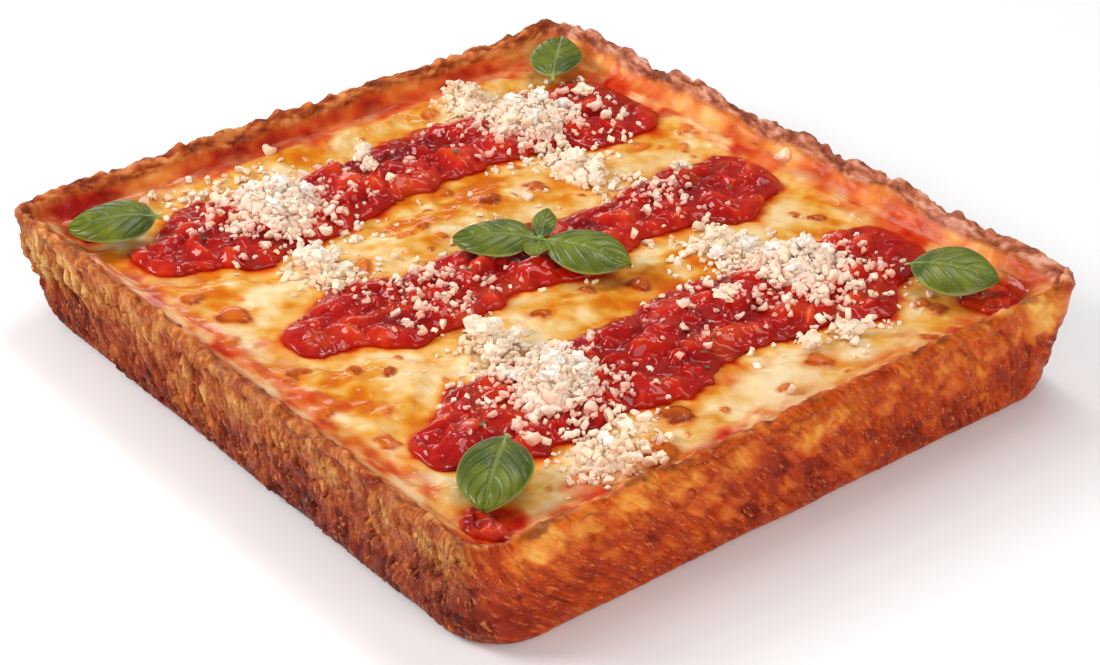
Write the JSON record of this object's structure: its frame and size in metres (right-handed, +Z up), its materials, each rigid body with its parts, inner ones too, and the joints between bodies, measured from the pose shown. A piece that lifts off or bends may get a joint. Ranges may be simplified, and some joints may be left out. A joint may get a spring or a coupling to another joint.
{
  "type": "detroit-style pizza",
  "caption": "Deep rectangular pan pizza with a tall browned crust, melted cheese, bands of tomato sauce, heaps of grated hard cheese and basil leaves.",
  "frame": {"origin": "middle of the overall footprint, on the surface that the pizza rests on", "axes": "+X along the long side, from the picture's left corner to its front corner; +Y along the short side, from the front corner to the right corner; +Z up"},
  "size_m": [0.2402, 0.214, 0.0402],
  "materials": {
    "crust": "fried, flaky orange-brown crust with pale and dark patches, lightly oily",
    "cheese": "melted cheese, cream to golden, with oil and browned blisters",
    "sauce": "wet crushed tomato, deep red",
    "grated_cheese": "dry grated hard cheese, cream white",
    "basil": "fresh basil leaf, soft gloss, paler veins"
  },
  "bodies": {
    "root": {"crust": "crust", "cheese": "cheese", "sauce_band_left": "sauce", "sauce_band_middle": "sauce", "sauce_band_right": "sauce", "sauce_pool_front": "sauce", "sauce_pool_right": "sauce", "sauce_pool_left": "sauce", "grated_heap_back": "grated_cheese", "grated_heap_left": "grated_cheese", "grated_heap_right": "grated_cheese", "grated_heap_front": "grated_cheese", "grated_patch_front": "grated_cheese", "flake_left_outer": "grated_cheese", "flake_left_inner": "grated_cheese", "flake_back": "grated_cheese", "flake_middle": "grated_cheese", "flake_band_right": "grated_cheese", "flake_right": "grated_cheese", "flake_right_low": "grated_cheese", "basil_left": "basil", "basil_back": "basil", "basil_right": "basil", "basil_front": "basil", "basil_sprig": "basil"}
  },
  "joints": []
}
